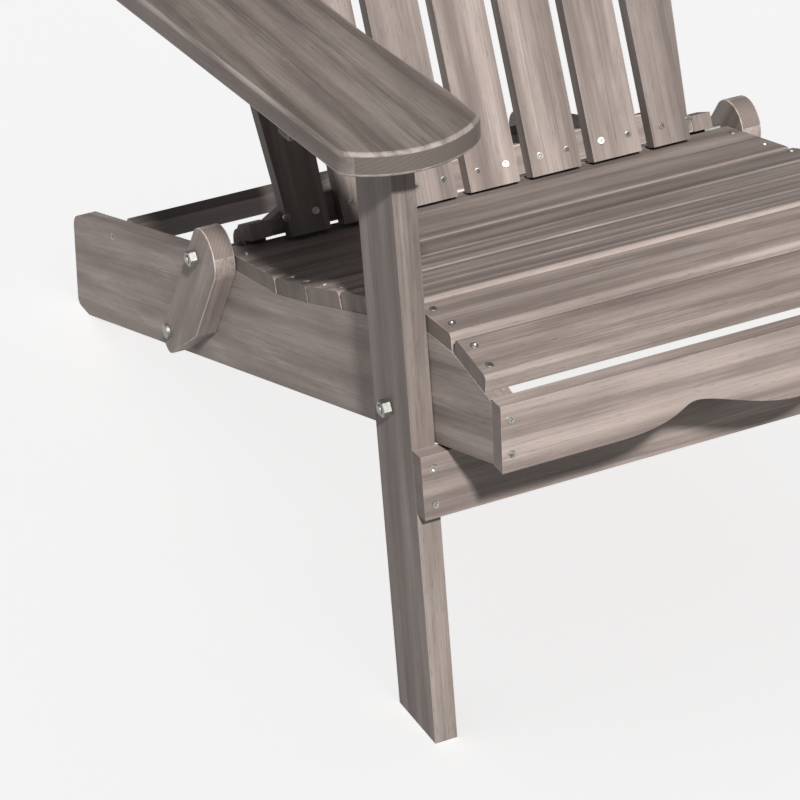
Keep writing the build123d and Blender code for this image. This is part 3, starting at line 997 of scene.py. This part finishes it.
class CHAIR_OT_bolts(bpy.types.Operator):
    """Pivot bolts with their washers and nuts"""

    bl_idname = "chair.bolts"
    bl_label = "Bolts"

    def execute(self, context):
        pivot_hardware("leg_pivot_bolts", "leg_pivot_nuts")
        pivot_hardware("back_pivot_bolts", "back_pivot_nuts")
        metal = galvanised()
        for node in ("link_pivot_bolts", "arm_front_bolts", "arm_rear_bolts"):
            NODES[node].data.materials.clear()
            NODES[node].data.materials.append(metal)
        return {"FINISHED"}


FLOOR_HALF = 12.0
KEY_TRAVEL = Vector((0.26, 1.0, -0.85))
CAMERA_PLACE = Vector((-1.1958, -2.4089, 1.5629))
CAMERA_ANGLES = tuple(math.radians(angle) for angle in (24.066, 29.247, -2.822))  # yaw, pitch, roll
CAMERA_LENS = 148.7


class CHAIR_OT_studio(bpy.types.Operator):
    """Plain floor, soft light and the camera"""

    bl_idname = "chair.studio"
    bl_label = "Studio"

    def execute(self, context):
        studio = context.scene.chair_studio
        scene = context.scene
        shape = bmesh.new()
        bmesh.ops.create_grid(shape, x_segments=2, y_segments=2, size=FLOOR_HALF)
        mesh = bpy.data.meshes.new("floor")
        shape.to_mesh(mesh)
        shape.free()
        floor = bpy.data.objects.new("floor", mesh)
        scene.collection.objects.link(floor)
        material, _, shader = new_material("matt_white_floor")
        shader.inputs["Base Color"].default_value = (*studio.floor, 1.0)
        shader.inputs["Roughness"].default_value = 0.9
        shader.inputs["Specular IOR Level"].default_value = 0.1
        shader.inputs["Emission Color"].default_value = (1.0, 1.0, 1.0, 1.0)
        shader.inputs["Emission Strength"].default_value = 0.72
        mesh.materials.append(material)

        world = bpy.data.worlds.new("soft_studio")
        scene.world = world
        world.use_nodes = True
        world.node_tree.nodes.clear()
        sky = add(
            world.node_tree,
            "ShaderNodeBackground",
            {"Color": (0.97, 0.985, 1.0, 1.0), "Strength": studio.fill},
        )
        add(world.node_tree, "ShaderNodeOutputWorld", {"Surface": sky.outputs["Background"]})

        lamp = bpy.data.lights.new("key", "SUN")
        lamp.energy = studio.key
        lamp.angle = math.radians(3.5)
        lamp.color = (1.0, 0.985, 0.965)
        key = bpy.data.objects.new("key", lamp)
        scene.collection.objects.link(key)
        key.rotation_mode = "QUATERNION"
        key.rotation_quaternion = KEY_TRAVEL.to_track_quat("-Z", "Y")

        # the key light passes the floor by, so that the chair casts no hard shadow on it
        lit = bpy.data.collections.new("lit_by_key")
        lit.objects.link(floor)
        lit.collection_objects[0].light_linking.link_state = "EXCLUDE"
        key.light_linking.receiver_collection = lit

        data = bpy.data.cameras.new("camera")
        camera = bpy.data.objects.new("camera", data)
        scene.collection.objects.link(camera)
        yaw, pitch, roll = CAMERA_ANGLES
        ahead = Vector((math.sin(yaw), math.cos(yaw), 0.0)) * math.cos(pitch) - Z * math.sin(pitch)
        level = Vector((math.cos(yaw), -math.sin(yaw), 0.0))
        upward = level.cross(ahead)
        right = level * math.cos(roll) + upward * math.sin(roll)
        top = upward * math.cos(roll) - level * math.sin(roll)
        turn = Matrix((right, top, -ahead)).transposed().to_4x4()
        camera.matrix_world = Matrix.Translation(CAMERA_PLACE) @ turn
        data.sensor_width = 36.0
        data.lens = CAMERA_LENS
        data.clip_start, data.clip_end = 0.05, 60.0
        scene.camera = camera
        scene.view_settings.view_transform = "Standard"
        return {"FINISHED"}


class CHAIR_PT_panel(bpy.types.Panel):
    """Lists the chair's pieces in the sidebar"""

    bl_label = "Folding Adirondack Chair"
    bl_idname = "CHAIR_PT_panel"
    bl_space_type = "VIEW_3D"
    bl_region_type = "UI"
    bl_category = "Chair"

    def draw(self, context):
        column = self.layout.column()
        for step in STEPS:
            column.operator(step.bl_idname)
        for group in (context.scene.chair_wood, context.scene.chair_steel, context.scene.chair_studio):
            for name in group.__annotations__:
                column.prop(group, name)


STEPS = (
    CHAIR_OT_seat,
    CHAIR_OT_legs,
    CHAIR_OT_links,
    CHAIR_OT_back,
    CHAIR_OT_arms,
    CHAIR_OT_screws,
    CHAIR_OT_bolts,
    CHAIR_OT_studio,
)
GROUPS = {"chair_wood": ChairWood, "chair_steel": ChairSteel, "chair_studio": ChairStudio}


def register():
    for kind in (*GROUPS.values(), *STEPS, CHAIR_PT_panel):
        bpy.utils.register_class(kind)
    for name, kind in GROUPS.items():
        setattr(bpy.types.Scene, name, PointerProperty(type=kind))


def unregister():
    for name in GROUPS:
        delattr(bpy.types.Scene, name)
    for kind in (CHAIR_PT_panel, *reversed(STEPS), *reversed(GROUPS.values())):
        bpy.utils.unregister_class(kind)


def main():
    register()
    for step in STEPS:
        group, name = step.bl_idname.split(".")
        getattr(getattr(bpy.ops, group), name)()


if __name__ == "__main__":
    main()
